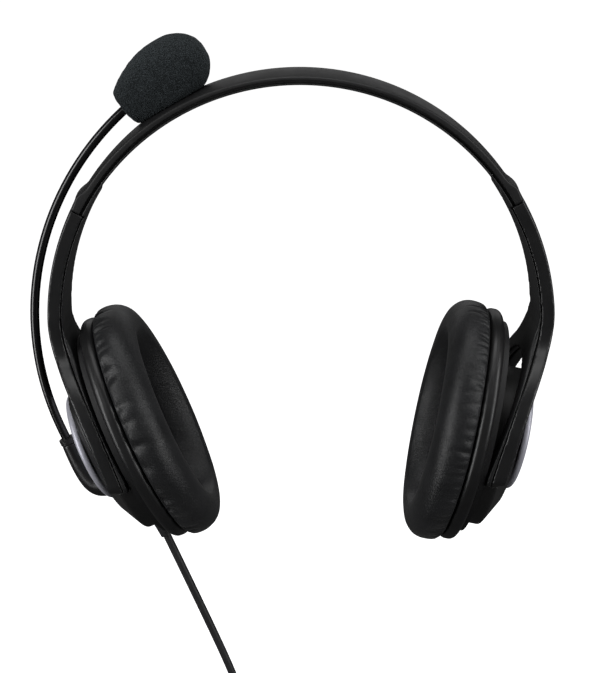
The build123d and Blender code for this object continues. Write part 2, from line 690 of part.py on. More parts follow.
def build_boom():
    where = cup_plane("left").location
    flange_z = HOUSING_BACK_Z + HOUSING_WALL + 0.1
    post_foot = HUB_BASE_Z + 0.6
    post = Cylinder(POST_RADIUS, flange_z + 0.5 - post_foot, align=STANDING)
    flange = Pos(0, HUB_Y, flange_z) * Cylinder(FLANGE_RADIUS, FLANGE_DEPTH, align=STANDING)
    write("left_boom_post", where * (Pos(0, HUB_Y, post_foot) * post + flange))

    hub = Pos(0, HUB_Y, HUB_BASE_Z) * Cylinder(HUB_RADIUS, HUB_HEIGHT, align=HANGING)
    hub = fillet(hub.edges().sort_by(Axis.Z)[0], HUB_FILLET)
    knuckle = Cone(*KNUCKLE_RADII, KNUCKLE_TOP_Y - HUB_Y, align=STANDING)
    knuckle = Pos(0, HUB_Y, KNUCKLE_Z) * Rot(X=-90) * knuckle
    clear_of_cap = Pos(0, 0, HUB_BASE_Z - KNUCKLE_CLEARANCE) * Box(100, 100, 100, align=STANDING)
    write("boom_hub", where * hub)
    write("boom_knuckle", where * (knuckle - hub - clear_of_cap))
    collar = Pos(0, KNUCKLE_TOP_Y + 0.05, KNUCKLE_Z) * Rot(X=-90) * Cylinder(
        COLLAR_RADIUS, COLLAR_LENGTH, align=STANDING)
    write("boom_collar", where * collar)

    frame = cup_plane("left")
    up = frame.y_dir
    ear = frame.z_dir
    root = frame.origin + up * (KNUCKLE_TOP_Y + 0.1 + COLLAR_LENGTH) + ear * KNUCKLE_Z
    start = root + up * BOOM_STRAIGHT
    end = boom_end()
    tube_path = Wire([Line(root, start), TangentArc(start, end, tangent=up)])
    section = Plane(origin=root, z_dir=up) * Circle(BOOM_TUBE_RADIUS)
    tube = sweep(section, path=tube_path)
    write("boom_tube", tube)


def build_microphone():
    """Foam windshield over the microphone's holder, on the end of the tube."""
    end = boom_end()
    lean = math.radians(FOAM_LEAN)
    axis = Vector(math.cos(lean), 0, math.sin(lean))
    along = Plane(origin=end - axis * FOAM_PAST_TUBE, x_dir=(0, 1, 0), z_dir=axis).location
    tip = (0, 0, FOAM_LENGTH)
    rim = (FOAM_BASE_RADIUS, 0, 0)
    belly = [(11.2, 0, 7.5), (FOAM_RADIUS, 0, 20.0), (10.6, 0, 31.5)]
    bulge = Spline(rim, *belly, tip, tangents=[(0.55, 0, 1), (-1, 0, 0)])
    profile = Wire([Line((0, 0, 0), rim), bulge, Line(tip, (0, 0, 0))])
    foam = along * revolve(make_face(profile), axis=Axis.Z)
    band_space = Rot(X=90) * Cylinder(SHELL_CROWN + FOAM_BAND_GAP, 60)
    cavity = Cylinder(HOLDER_RADIUS + 0.1, HOLDER_LENGTH + FOAM_PAST_TUBE + 1.1, align=STANDING)
    foam = foam - Pos(0, 0, BAND_CENTRE_Z) * band_space
    write("mic_foam", foam - along * (Pos(0, 0, -1) * cavity))

    at_holder = along * Pos(0, 0, FOAM_PAST_TUBE + 0.05)
    holder = Cylinder(HOLDER_RADIUS, HOLDER_LENGTH, align=STANDING)
    seat = Pos(0, 0, HOLDER_LENGTH - CAPSULE_LENGTH - 0.1)
    pocket = seat * Cylinder(CAPSULE_RADIUS + 0.05, 20, align=STANDING)
    capsule = Pos(0, 0, HOLDER_LENGTH) * Cylinder(CAPSULE_RADIUS, CAPSULE_LENGTH, align=HANGING)
    write("mic_holder", at_holder * (holder - pocket))
    write("mic_capsule", at_holder * capsule)


# ================================================================ cord
def cord_route():
    """Corner points of the hanging cord, from the boot to the top of the hank."""
    frame = cup_plane("left")
    point = frame.origin + frame.y_dir * CORD_EXIT_Y + frame.z_dir * CORD_EXIT_Z
    route = [point]
    for run, heading in zip(CORD_RUNS, CORD_HEADINGS):
        turn = math.radians(heading)
        point = point + Vector(math.sin(turn), 0, -math.cos(turn)) * run
        route.append(point)
    return route


def corner_radii(route):
    """Largest even arc at each corner of a route."""
    radii = []
    for before, corner, after in zip(route, route[1:], route[2:]):
        arriving = corner - before
        leaving = after - corner
        half_turn = 0.5 * math.radians(arriving.get_angle(leaving))
        shorter = min(arriving.length, leaving.length)
        radii.append(CORD_ARC_SHARE * shorter / math.tan(half_turn))
    return radii


def stadium(fold, straight):
    """Upright racetrack outline in the XZ plane."""
    flat = Rectangle(2 * fold, straight)
    ends = Pos(0, 0.5 * straight) * Circle(fold) + Pos(0, -0.5 * straight) * Circle(fold)
    return Plane.XZ * (flat + ends)


def build_cable():
    where = cup_plane("left").location
    boot_length = BOOT_TOP_Y - CORD_EXIT_Y
    boot = Cone(BOOT_RADIUS, BOOT_RADIUS - BOOT_TAPER, boot_length, align=STANDING)
    boot = Pos(0, BOOT_TOP_Y, CORD_EXIT_Z) * Rot(X=90) * boot
    inside = dome(0) & housing_mask(0)
    write("cord_boot", where * (boot - inside))

    route = cord_route()
    radii = corner_radii(route)
    print("cord radii", [round(r, 1) for r in radii])
    path = FilletPolyline(*route, radius=radii)
    section = Plane(origin=route[0], z_dir=route[1] - route[0]) * Circle(CORD_RADIUS)
    cable = sweep(section, path=path)
    expected = math.pi * CORD_RADIUS ** 2 * path.length
    print("cord tube", round(path.length, 1), "mm, volume", round(cable.volume), "of", round(expected))
    write("cord_cable", cable)


def build_hank():
    """Ten turns of the cord as one closed ring, its strap, and the tail to the plug."""
    outer_fold = HANK_INNER_FOLD + (HANK_LANES - 1) * HANK_PITCH + CORD_RADIUS
    inner_fold = HANK_INNER_FOLD - CORD_RADIUS
    top = cord_route()[-1]
    centre_z = top.Z - 0.5 * HANK_STRAIGHT - outer_fold
    at_hank = Pos(top.X, 0, centre_z)
    ring = stadium(outer_fold, HANK_STRAIGHT) - stadium(inner_fold, HANK_STRAIGHT)
    hank = extrude(ring, amount=0.5 * HANK_THICKNESS, both=True)
    write("cord_hank", at_hank * hank)

    bore = stadium(outer_fold + TIE_GAP, HANK_STRAIGHT)
    bore = extrude(bore, amount=0.5 * HANK_THICKNESS + TIE_GAP, both=True)
    around = 2 * (TIE_GAP + TIE_THICKNESS)
    strap = Box(2 * outer_fold + around, HANK_THICKNESS + around, TIE_HEIGHT)
    strap = fillet(strap.edges().filter_by(Axis.Z), TIE_CORNER)
    write("cord_tie", at_hank * (strap - bore))

    tail_top = centre_z - 0.5 * HANK_STRAIGHT - outer_fold
    tail = Pos(top.X, 0, tail_top) * Cylinder(CORD_RADIUS, TAIL_LENGTH, align=HANGING)
    write("cord_tail", tail)
    return Pos(top.X, 0, tail_top - TAIL_LENGTH)


def build_plug(at_plug):
    width, depth, length = PLUG_BODY
    neck = Cone(CORD_RADIUS + 1.6, CORD_RADIUS + 0.5, PLUG_NECK, align=STANDING)
    body = Pos(0, 0, -PLUG_NECK) * Box(width, depth, length - PLUG_NECK, align=HANGING)
    body = fillet(body.edges().filter_by(Axis.Z), PLUG_CORNER)
    body = fillet(body.edges().group_by(Axis.Z)[-1], PLUG_SHOULDER)
    write("plug_body", at_plug * (body + Pos(0, 0, -PLUG_NECK) * neck))
    shell_width, shell_depth, shell_length = PLUG_SHELL
    shell = Pos(0, 0, -length) * Box(shell_width, shell_depth, shell_length, align=HANGING)
    inside = (shell_width - 2 * PLUG_SHELL_WALL, shell_depth - 2 * PLUG_SHELL_WALL)
    hollow = Pos(0, 0, -length - 0.5) * Box(*inside, shell_length, align=HANGING)
    write("plug_shell", at_plug * (shell - hollow))
    tongue_y = 0.5 * (inside[1] - PLUG_TONGUE[1]) - 0.05
    tongue = Pos(0, tongue_y, -length - 0.6) * Box(*PLUG_TONGUE, align=HANGING)
    write("plug_tongue", at_plug * tongue)


build_headband_shell()
build_headband_liner()
build_headband_inside()
arm_blanks = arm_shells()
for cup_side in BOTH_SIDES:
    build_arm(cup_side, arm_blanks)
    build_cup(cup_side)
build_audio_board()
build_boom()
build_microphone()
build_cable()
build_plug(build_hank())
print(len(written), "nodes")
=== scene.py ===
import json
import math
import random

import bmesh
import bpy
from mathutils import Matrix, Vector, noise


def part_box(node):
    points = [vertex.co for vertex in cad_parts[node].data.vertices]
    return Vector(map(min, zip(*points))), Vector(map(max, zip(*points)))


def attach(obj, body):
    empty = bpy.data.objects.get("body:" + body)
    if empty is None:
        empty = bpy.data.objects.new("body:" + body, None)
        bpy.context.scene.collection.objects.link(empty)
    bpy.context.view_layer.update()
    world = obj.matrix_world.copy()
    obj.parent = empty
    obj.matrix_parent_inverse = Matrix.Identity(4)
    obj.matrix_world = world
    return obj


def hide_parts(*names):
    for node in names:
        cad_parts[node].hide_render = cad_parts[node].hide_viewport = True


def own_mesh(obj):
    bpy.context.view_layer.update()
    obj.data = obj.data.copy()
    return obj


# Office headset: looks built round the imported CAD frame.  Metres, +Z up, microphone on the -X side.
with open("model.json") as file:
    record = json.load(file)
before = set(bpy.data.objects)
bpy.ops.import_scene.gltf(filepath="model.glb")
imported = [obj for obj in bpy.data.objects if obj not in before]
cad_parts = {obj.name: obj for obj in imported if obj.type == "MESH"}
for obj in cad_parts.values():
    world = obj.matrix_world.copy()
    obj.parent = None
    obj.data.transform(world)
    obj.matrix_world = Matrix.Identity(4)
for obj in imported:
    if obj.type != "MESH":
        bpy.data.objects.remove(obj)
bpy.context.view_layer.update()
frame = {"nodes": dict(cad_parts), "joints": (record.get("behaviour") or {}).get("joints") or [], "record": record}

MM = 0.001
NODES = frame["nodes"]
MOUNTS = {mount["name"]: mount for mount in frame["record"]["mounts"]}
JOINTS = {joint["name"]: joint for joint in frame["joints"]}

# ---------------------------------------------------------------- dimensions shared with the frame
BAND_CENTRE = Vector(JOINTS["left_slider"]["pos_m"])
BAND_RADIUS = -BAND_CENTRE.z
SEAM_ANGLE = 61.0                   # degrees from the apex
HALF_WIDTH = 14.0 * MM
LIP_RADIUS = 91.9 * MM              # the shell's lips start here, above the groove
CROWN_RADIUS = 95.1 * MM
GROOVE_FLOOR = 90.85 * MM           # inner walls that close the groove reach down to here
SLEEVE_CROWN = 96.0 * MM
LINER_THICKNESS = 0.8 * MM
BAND_STEPS = 260
SHELL_VOXEL = 0.5 * MM

CUSHION_HEIGHT = 14.4 * MM          # from its seam to its face
MOUNT_UP = 38.0 * MM                # the ear face mount lies this far up the cup
OVAL_END_CENTRE = 12.8 * MM         # centres of the oval's end arcs
OVAL_SIDE_CENTRE = 14.7 * MM        # and of its side arcs
CUSHION_STEPS = 540
CUSHION_PERIMETER = 0.272
GATHERS_OUTSIDE = 40.0 * MM         # half height of the oval beyond which the leather is gathered
GATHER_REACH = 9.5 * MM             # height above the seam where the gathers die out
HOUSING_BACK = -20.3 * MM
CAP_RADIUS = 22.0 * MM
CAP_HEIGHT = 3.7 * MM
CAP_CROWN = 1.2 * MM                # how much lower the dome is at its edge

FOAM_LEAN = math.radians(37.0)
FOAM_WIDEST = 19.5 * MM             # from its base
FOAM_LIES_OFF = 0.15 * MM           # foam over the band's crowned top
FOAM_TOP_DROP = 1.3 * MM            # fall of that top from its middle to its edges, under the foam
TUBE_RADIUS = 1.75 * MM
ELBOW_SLOT = "black_satin"
ELBOW_SPINE_MM = (                  # foot, corner and top, in the cup's frame
    (0, -14.8, -24.0),
    (0, -16.2, -30.2),
    (0, 4.6, -30.2),
)
ELBOW_RADII_MM = (6.7, 2.9)
ELBOW_STEPS = 40
ELBOW_SIDES = 48

CORD_RADIUS = 1.6 * MM
CORD_ROUTE_MM = (                   # x, z of the hanging cord, on the plane y = 0
    (-54.620, -177.716),
    (-41.719, -209.173),
    (-28.642, -242.714),
    (-23.320, -264.061),
    (-21.647, -279.973),
)
HANK_X = -21.647 * MM
HANK_CENTRE_Z = -329.773 * MM
HANK_STRAIGHT = 26.0 * MM
HANK_FOLD = 9.8 * MM
HANK_PITCH = 3.35 * MM
HANK_LANES = 5
HANK_STEPS = 16                     # points in each turn
PLUG_TOP_Z = -387.573 * MM
FLOOR_Z = -0.445


# ================================================================ small helpers
def cup_matrix(side):
    """Cup frame: x across, y up the cup, z towards the ear, 0 at the cushion's seam."""
    mount = MOUNTS[side + "_ear_face"]
    ear = Vector(mount["axis"]).normalized()
    across = Vector((0, 1 if side == "left" else -1, 0))
    up = ear.cross(across)
    origin = Vector(mount["pos_m"]) - ear * CUSHION_HEIGHT - up * MOUNT_UP
    matrix = Matrix((across, up, ear)).transposed().to_4x4()
    matrix.translation = origin
    return matrix


def link(name, mesh, material, body):
    """New smooth-shaded piece that rides on a body."""
    piece = bpy.data.objects.new(name, mesh)
    bpy.context.scene.collection.objects.link(piece)
    if material is not None:
        mesh.materials.clear()
        mesh.materials.append(material)
    if hasattr(mesh, "polygons"):
        mesh.polygons.foreach_set("use_smooth", [True] * len(mesh.polygons))
    if body:
        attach(piece, body)
    return piece


def grid(rows, close_rows, close_cols, cap_ends=False):
    """Quad mesh from rows of points."""
    count = len(rows[0])
    verts = [point for row in rows for point in row]
    faces = []
    row_total = len(rows) if close_rows else len(rows) - 1
    col_total = count if close_cols else count - 1
    for i in range(row_total):
        here = i * count
        ahead = ((i + 1) % len(rows)) * count
        for j in range(col_total):
            k = (j + 1) % count
            faces.append((here + j, here + k, ahead + k, ahead + j))
    if cap_ends:
        faces.append(tuple(range(count))[::-1])
        faces.append(tuple(range((len(rows) - 1) * count, len(rows) * count)))
    mesh = bpy.data.meshes.new("grid")
    mesh.from_pydata([tuple(v) for v in verts], [], faces)
    bm = bmesh.new()
    bm.from_mesh(mesh)
    bmesh.ops.remove_doubles(bm, verts=bm.verts, dist=1e-7)
    bmesh.ops.recalc_face_normals(bm, faces=bm.faces)
    bm.to_mesh(mesh)
    bm.free()
    return mesh


def smooth_line(points, steps):
    """Catmull-Rom samples through given points."""
    ends = [points[0]] + list(points) + [points[-1]]
    samples = []
    for a, b, c, d in zip(ends, ends[1:], ends[2:], ends[3:]):
        for i in range(steps):
            t = i / steps
            samples.append(tuple(
                0.5 * (2 * q + (r - p) * t + (2 * p - 5 * q + 4 * r - s) * t * t
                       + (3 * q - p - 3 * r + s) * t ** 3)
                for p, q, r, s in zip(a, b, c, d)))
    samples.append(tuple(points[-1]))
    return samples


def smoothstep(low, high, value):
    t = min(max((value - low) / (high - low), 0.0), 1.0)
    return t * t * (3 - 2 * t)


def applied(piece):
    """Replace a piece's mesh by its modifiers' result."""
    depsgraph = bpy.context.evaluated_depsgraph_get()
    mesh = bpy.data.meshes.new_from_object(piece.evaluated_get(depsgraph))
    piece.modifiers.clear()
    piece.data = mesh
    mesh.polygons.foreach_set("use_smooth", [True] * len(mesh.polygons))
    return piece


def melted(piece, voxel, passes):
    """One watertight skin over a piece, with its edges eased."""
    remesh = piece.modifiers.new("remesh", "REMESH")
    remesh.mode = "VOXEL"
    remesh.voxel_size = voxel
    smooth = piece.modifiers.new("smooth", "SMOOTH")
    smooth.factor = 0.5
    smooth.iterations = passes
    applied(piece)


def moulded(nodes, name, material, voxel, passes, body):
    """CAD shells joined and with their edges rounded as a moulding's are."""
    joined = bmesh.new()
    for node in nodes:
        joined.from_mesh(NODES[node].data)
    mesh = bpy.data.meshes.new(name)
    joined.to_mesh(mesh)
    joined.free()
    piece = link(name, mesh, material, None)
    melted(piece, voxel, passes)
    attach(piece, body)
    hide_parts(*nodes)
    return piece


class Surface:
    """A Principled material built up node by node."""

    def __init__(self, name, roughness, **constants):
        self.material = bpy.data.materials.new(name)
        self.material.use_nodes = True
        self.nodes = self.material.node_tree.nodes
        self.links = self.material.node_tree.links
        self.shader = self.nodes["Principled BSDF"]
        self.shader.inputs["Roughness"].default_value = roughness
        for socket, value in constants.items():
            self.shader.inputs[socket.replace("_", " ")].default_value = value
        self.place = self.nodes.new("ShaderNodeTexCoord").outputs["Object"]
        self.normal = None

    def noise(self, scale, detail=4.0, rough=0.55, stretch=None, distortion=0.0):
        node = self.nodes.new("ShaderNodeTexNoise")
        node.inputs["Scale"].default_value = scale
        node.inputs["Detail"].default_value = detail
        node.inputs["Roughness"].default_value = rough
        node.inputs["Distortion"].default_value = distortion
        self.links.new(self.stretched(stretch), node.inputs["Vector"])
        return node.outputs["Fac"]

    def voronoi(self, scale, feature="F1", stretch=None):
        node = self.nodes.new("ShaderNodeTexVoronoi")
        node.feature = feature
        node.inputs["Scale"].default_value = scale
        self.links.new(self.stretched(stretch), node.inputs["Vector"])
        return node.outputs["Distance"]

    def wave(self, scale, direction, kind="BANDS", distortion=0.0):
        node = self.nodes.new("ShaderNodeTexWave")
        node.wave_type = kind
        node.bands_direction = direction
        node.inputs["Scale"].default_value = scale
        node.inputs["Distortion"].default_value = distortion
        self.links.new(self.place, node.inputs["Vector"])
        return node.outputs["Fac"]

    def stretched(self, stretch):
        if stretch is None:
            return self.place
        node = self.nodes.new("ShaderNodeMapping")
        node.inputs["Scale"].default_value = stretch
        self.links.new(self.place, node.inputs["Vector"])
        return node.outputs["Vector"]

    def ramp(self, source, low, high, from_low=0.0, from_high=1.0):
        """Source value mapped to a new range."""
        node = self.nodes.new("ShaderNodeMapRange")
        node.inputs["From Min"].default_value = from_low
        node.inputs["From Max"].default_value = from_high
        node.inputs["To Min"].default_value = low
        node.inputs["To Max"].default_value = high
        self.links.new(source, node.inputs["Value"])
        return node.outputs["Result"]

    def colours(self, source, *stops):
        """Colour by a source value; each stop is (place, (r, g, b))."""
        node = self.nodes.new("ShaderNodeValToRGB")
        ramp = node.color_ramp
        while len(ramp.elements) < len(stops):
            ramp.elements.new(0.5)
        for element, (where, colour) in zip(ramp.elements, stops):
            element.position = where
            element.color = (*colour, 1.0)
        self.links.new(source, node.inputs["Fac"])
        self.links.new(node.outputs["Color"], self.shader.inputs["Base Color"])
        return node.outputs["Color"]

    def rough(self, source, low, high):
        self.links.new(self.ramp(source, low, high, 0.3, 0.7), self.shader.inputs["Roughness"])

    def bump(self, source, strength, depth):
        """Add a layer of bump; depth in metres."""
        node = self.nodes.new("ShaderNodeBump")
        node.inputs["Strength"].default_value = strength
        node.inputs["Distance"].default_value = depth
        self.links.new(source, node.inputs["Height"])
        if self.normal is not None:
            self.links.new(self.normal, node.inputs["Normal"])
        self.normal = node.outputs["Normal"]
        self.links.new(self.normal, self.shader.inputs["Normal"])

    def maths(self, operation, first, second):
        node = self.nodes.new("ShaderNodeMath")
        node.operation = operation
        for socket, value in zip(node.inputs, (first, second)):
            if isinstance(value, (int, float)):
                socket.default_value = value
            else:
                self.links.new(value, socket)
        return node.outputs["Value"]

    def edge_wear(self, colour, amount):
        """Slightly paler along worn edges."""
        geometry = self.nodes.new("ShaderNodeNewGeometry")
        edge = self.ramp(geometry.outputs["Pointiness"], 0.0, amount, 0.52, 0.62)
        patchy = self.maths("MULTIPLY", edge, self.noise(900, 3))
        mix = self.nodes.new("ShaderNodeMix")
        mix.data_type = "RGBA"
        before = self.shader.inputs["Base Color"].links[0].from_socket
        self.links.new(patchy, mix.inputs["Factor"])
        self.links.new(before, mix.inputs["A"])
        mix.inputs["B"].default_value = (*colour, 1.0)
        self.links.new(mix.outputs["Result"], self.shader.inputs["Base Color"])


def plastic(name, colour, roughness, grain_depth, wear=0.5, **constants):
    """Moulded plastic: fine spark-eroded grain, faint flow variation and rubbed edges."""
    s = Surface(name, roughness, **constants)
    flow = s.noise(26, 3)
    darker = tuple(0.82 * c for c in colour)
    lighter = tuple(1.22 * c for c in colour)
    s.colours(flow, (0.3, darker), (0.7, lighter))
    s.edge_wear(tuple(3.0 * c + 0.01 for c in colour), wear)
    s.rough(s.noise(160, 4), roughness - 0.05, roughness + 0.06)
    s.bump(s.noise(3600, 2, 0.6), 0.18, grain_depth)
    s.bump(s.noise(420, 3), 0.10, 2 * grain_depth)
    return s.material


def leatherette():
    s = Surface("leatherette", 0.42, Specular_IOR_Level=0.42, Sheen_Weight=0.06, Sheen_Roughness=0.5)
    cells = s.voronoi(1500, "DISTANCE_TO_EDGE")
    s.colours(s.noise(60, 5), (0.3, (0.0085, 0.0088, 0.0095)), (0.7, (0.0165, 0.017, 0.0185)))
    s.rough(s.noise(110, 4), 0.36, 0.50)
    s.bump(s.ramp(cells, 0.0, 1.0, 0.0, 0.28), 0.25, 0.06 * MM)
    s.bump(s.noise(700, 5, 0.65, stretch=(1.0, 1.0, 3.4), distortion=0.6), 0.5, 0.30 * MM)
    s.bump(s.noise(210, 4, 0.6, stretch=(0.8, 0.8, 3.0), distortion=0.8), 0.28, 0.5 * MM)
    return s.material


def foam_material():
    s = Surface("windshield_foam", 0.95, Specular_IOR_Level=0.10, Sheen_Weight=0.10, Sheen_Roughness=0.7)
    s.shader.inputs["Sheen Tint"].default_value = (0.75, 0.85, 0.9, 1.0)
    pores = s.voronoi(1700)
    # Colour follows the pore relief: painted shade in the low pits and painted light on the raised tops, times a
    # noise mottle that is the foam's own random tone.
    relief_light_and_shade = s.ramp(pores, 1.0, 0.25, 0.1, 0.75)
    mottle_and_relief_shade = s.maths("MULTIPLY", relief_light_and_shade, s.ramp(s.noise(900, 4), 0.6, 1.3, 0.3, 0.7))
    # Darkest stop is painted shade for the pits, lightest stop is painted light for the raised tops.
    shaded_pit, middle, lit_top = (0.004, 0.005, 0.0054), (0.019, 0.023, 0.025), (0.040, 0.046, 0.050)
    s.colours(mottle_and_relief_shade, (0.2, shaded_pit), (0.62, middle), (1.0, lit_top))
    s.bump(s.ramp(pores, 1.0, 0.0, 0.1, 0.8), 0.85, 0.5 * MM)
    s.bump(s.noise(520, 4), 0.5, 0.5 * MM)
    return s.material


def silver_paint():
    """Silver-grey paint with fine metallic flake."""
    s = Surface("silver_paint", 0.42, Metallic=0.25, Specular_IOR_Level=0.5)
    s.colours(s.noise(50, 3), (0.3, (0.60, 0.60, 0.68)), (0.7, (0.68, 0.68, 0.76)))
    s.edge_wear((0.75, 0.75, 0.8), 0.4)
    s.rough(s.noise(300, 3), 0.36, 0.46)
    s.bump(s.noise(5200, 2), 0.25, 0.02 * MM)
    return s.material


def gloss_tube():
    s = Surface("gloss_tube", 0.22, Specular_IOR_Level=0.5, Coat_Weight=0.25, Coat_Roughness=0.12)
    s.colours(s.noise(40, 3), (0.3, (0.004, 0.004, 0.0045)), (0.7, (0.008, 0.008, 0.009)))
    s.rough(s.noise(220, 4), 0.18, 0.30)
    s.bump(s.noise(160, 3), 0.12, 0.05 * MM)
    return s.material


def cord_jacket():
    s = Surface("cord_jacket", 0.52, Specular_IOR_Level=0.4)
    s.colours(s.noise(90, 3), (0.3, (0.017, 0.017, 0.018)), (0.7, (0.027, 0.027, 0.029)))
    s.rough(s.noise(400, 4), 0.46, 0.60)
    s.bump(s.noise(1500, 3), 0.3, 0.04 * MM)
    return s.material


def woven(name, colour, pitch, roughness=0.85):
    """Plain weave from two crossed waves."""
    s = Surface(name, roughness, Sheen_Weight=0.15, Specular_IOR_Level=0.2)
    warp = s.wave(pitch, "Y")
    weft = s.wave(pitch, "Z")
    weave = s.maths("MULTIPLY", warp, weft)
    s.colours(weave, (0.1, tuple(0.35 * c for c in colour)), (0.8, colour))
    s.bump(weave, 0.7, 0.15 * MM)
    s.bump(s.noise(2500, 2), 0.3, 0.05 * MM)
    return s.material


def metal(name, colour, roughness, brushed=None):
    """Metal with a directional or even micro-scratch."""
    s = Surface(name, roughness, Metallic=1.0)
    s.colours(s.noise(120, 3), (0.3, tuple(0.85 * c for c in colour)), (0.7, colour))
    s.rough(s.noise(900, 3, stretch=brushed), roughness - 0.07, roughness + 0.1)
    s.bump(s.noise(1600, 3, stretch=brushed), 0.15, 0.03 * MM)
    return s.material


BLACK = (0.0125, 0.0125, 0.0130)
MATERIALS = {
    "black_satin": plastic("black_satin", BLACK, 0.36, 0.022 * MM),
    "black_matte": plastic("black_matte", (0.011, 0.011, 0.0115), 0.50, 0.03 * MM),
    "dark_grey_housing": plastic("dark_grey_housing", (0.021, 0.021, 0.021), 0.44, 0.03 * MM),
    "silver_grey": silver_paint(),
    "gloss_black": gloss_tube(),
    "leatherette": leatherette(),
    "acoustic_cloth": woven("acoustic_cloth", (0.012, 0.012, 0.013), 1100),
    "foam": foam_material(),
    "spring_steel": plastic("spring_steel", (0.008, 0.008, 0.0085), 0.55, 0.01 * MM, 0.0),
    "wire_jacket": plastic("wire_jacket", (0.02, 0.02, 0.02), 0.5, 0.02 * MM),
    "cone_film": plastic("cone_film", (0.06, 0.06, 0.065), 0.4, 0.01 * MM),
    "circuit_board": plastic("circuit_board", (0.015, 0.09, 0.03), 0.3, 0.01 * MM),
    "chip_black": plastic("chip_black", (0.015, 0.015, 0.015), 0.5, 0.02 * MM),
    "capsule_metal": metal("capsule_metal", (0.7, 0.7, 0.72), 0.3),
    "cord_rubber": cord_jacket(),
    "tie_black": woven("tie_black", (0.02, 0.02, 0.022), 520),
    "plug_plastic": plastic("plug_plastic", (0.015, 0.015, 0.016), 0.45, 0.03 * MM),
    "plug_metal": metal("plug_metal", (0.78, 0.78, 0.8), 0.22),
}

for part in frame["record"]["subparts"]:
    cad = NODES[part["node"]]
    cad.data.materials.clear()
    cad.data.materials.append(MATERIALS[part["material_slot"]])


# ================================================================ headband
def band_point(radius, angle, y):
    """Point about the band's centre, at an angle from the apex towards +X."""
    return BAND_CENTRE + Vector((radius * math.sin(angle), y, radius * math.cos(angle)))


def rounded(corners, radius, steps=5):
    """Closed outline of (radius, y) corners, each rounded by its own or the given radius."""
    outline = []
    total = len(corners)
    for i, corner in enumerate(corners):
        here = Vector(corner[:2])
        size = corner[2] if len(corner) > 2 else radius
        before = (Vector(corners[i - 1][:2]) - here).normalized()
        after = (Vector(corners[(i + 1) % total][:2]) - here).normalized()
        for k in range(steps + 1):
            t = k / steps
            a = here + before * size * (1 - t) ** 2
            outline.append(a + after * size * t ** 2)
    return outline


def shell_section(degrees):
    """Section of the outer shell: crowned top, rounded edges and a hollow under side."""
    turn = abs(degrees)
    flare = smoothstep(54.5, 58.6, turn)
    crown = CROWN_RADIUS + (SLEEVE_CROWN - CROWN_RADIUS) * flare
    drop = (2.05 - 1.0 * smoothstep(5.0, 52.0, turn)) * MM * (1 - flare) + 0.8 * MM * flare
    bump = 0.5 * MM * math.exp(-((turn - 58.0) / 1.3) ** 2)
    edge = crown - drop
    top = []
    for i in range(11):
        y = HALF_WIDTH * (1 - 2 * (i + 1) / 12)
        share = 1 - (y / HALF_WIDTH) ** 2
        top.append((edge + drop * share + bump, y, 0.0))
    wall = 1.6 * MM
    ceiling = edge - 0.9 * MM
    corners = [(LIP_RADIUS, HALF_WIDTH, 0.25 * MM), (edge + bump, HALF_WIDTH, 0.75 * MM)]
    corners += top
    corners += [
        (edge + bump, -HALF_WIDTH, 0.75 * MM),
        (LIP_RADIUS, -HALF_WIDTH, 0.25 * MM),
        (LIP_RADIUS, -HALF_WIDTH + wall, 0.15 * MM),
        (GROOVE_FLOOR, -HALF_WIDTH + wall, 0.1 * MM),
        (GROOVE_FLOOR, -HALF_WIDTH + 2 * wall, 0.1 * MM),
        (ceiling, -HALF_WIDTH + 2 * wall, 0.1 * MM),
        (ceiling, HALF_WIDTH - 2 * wall, 0.1 * MM),
        (GROOVE_FLOOR, HALF_WIDTH - 2 * wall, 0.1 * MM),
        (GROOVE_FLOOR, HALF_WIDTH - wall, 0.1 * MM),
        (LIP_RADIUS, HALF_WIDTH - wall, 0.15 * MM),
    ]
    return rounded(corners, 0.0)


def liner_section(degrees):
    """Head-side strip, thicker where it covers the sleeve."""
    cover = smoothstep(55.6, 56.6, abs(degrees))
    inner = BAND_RADIUS - 0.5 * MM * cover
    half = HALF_WIDTH - (0.6 - 0.3 * cover) * MM
    outer = BAND_RADIUS + LINER_THICKNESS
    return rounded([(inner, half), (outer, half), (outer, -half), (inner, -half)], 0.35 * MM)


def sweep_band(section, limit, steps):
    rows = []
    for i in range(steps + 1):
        degrees = -limit + 2 * limit * i / steps
        angle = math.radians(degrees)
        rows.append([band_point(r, angle, y) for r, y in section(degrees)])
    return grid(rows, False, True, cap_ends=True)


def build_headband():
    shell_mesh = sweep_band(shell_section, SEAM_ANGLE, BAND_STEPS)
    shell = link("headband_outer", shell_mesh, MATERIALS["black_matte"], "root")
    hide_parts("headband_shell")
    liner_mesh = sweep_band(liner_section, SEAM_ANGLE, BAND_STEPS)
    liner = link("headband_inner", liner_mesh, MATERIALS["black_matte"], "root")
    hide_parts("headband_liner")


# ================================================================ arms and cup shells
def build_arms():
    for side in ("left", "right"):
        body = side + "_arm"
        outer = moulded([side + "_arm_outer_shell"], side + "_arm_outer",
                        MATERIALS["black_satin"], SHELL_VOXEL, 9, body)
        inner = moulded([side + "_arm_inner_shell"], side + "_arm_inner",
                        MATERIALS["black_matte"], SHELL_VOXEL, 7, body)


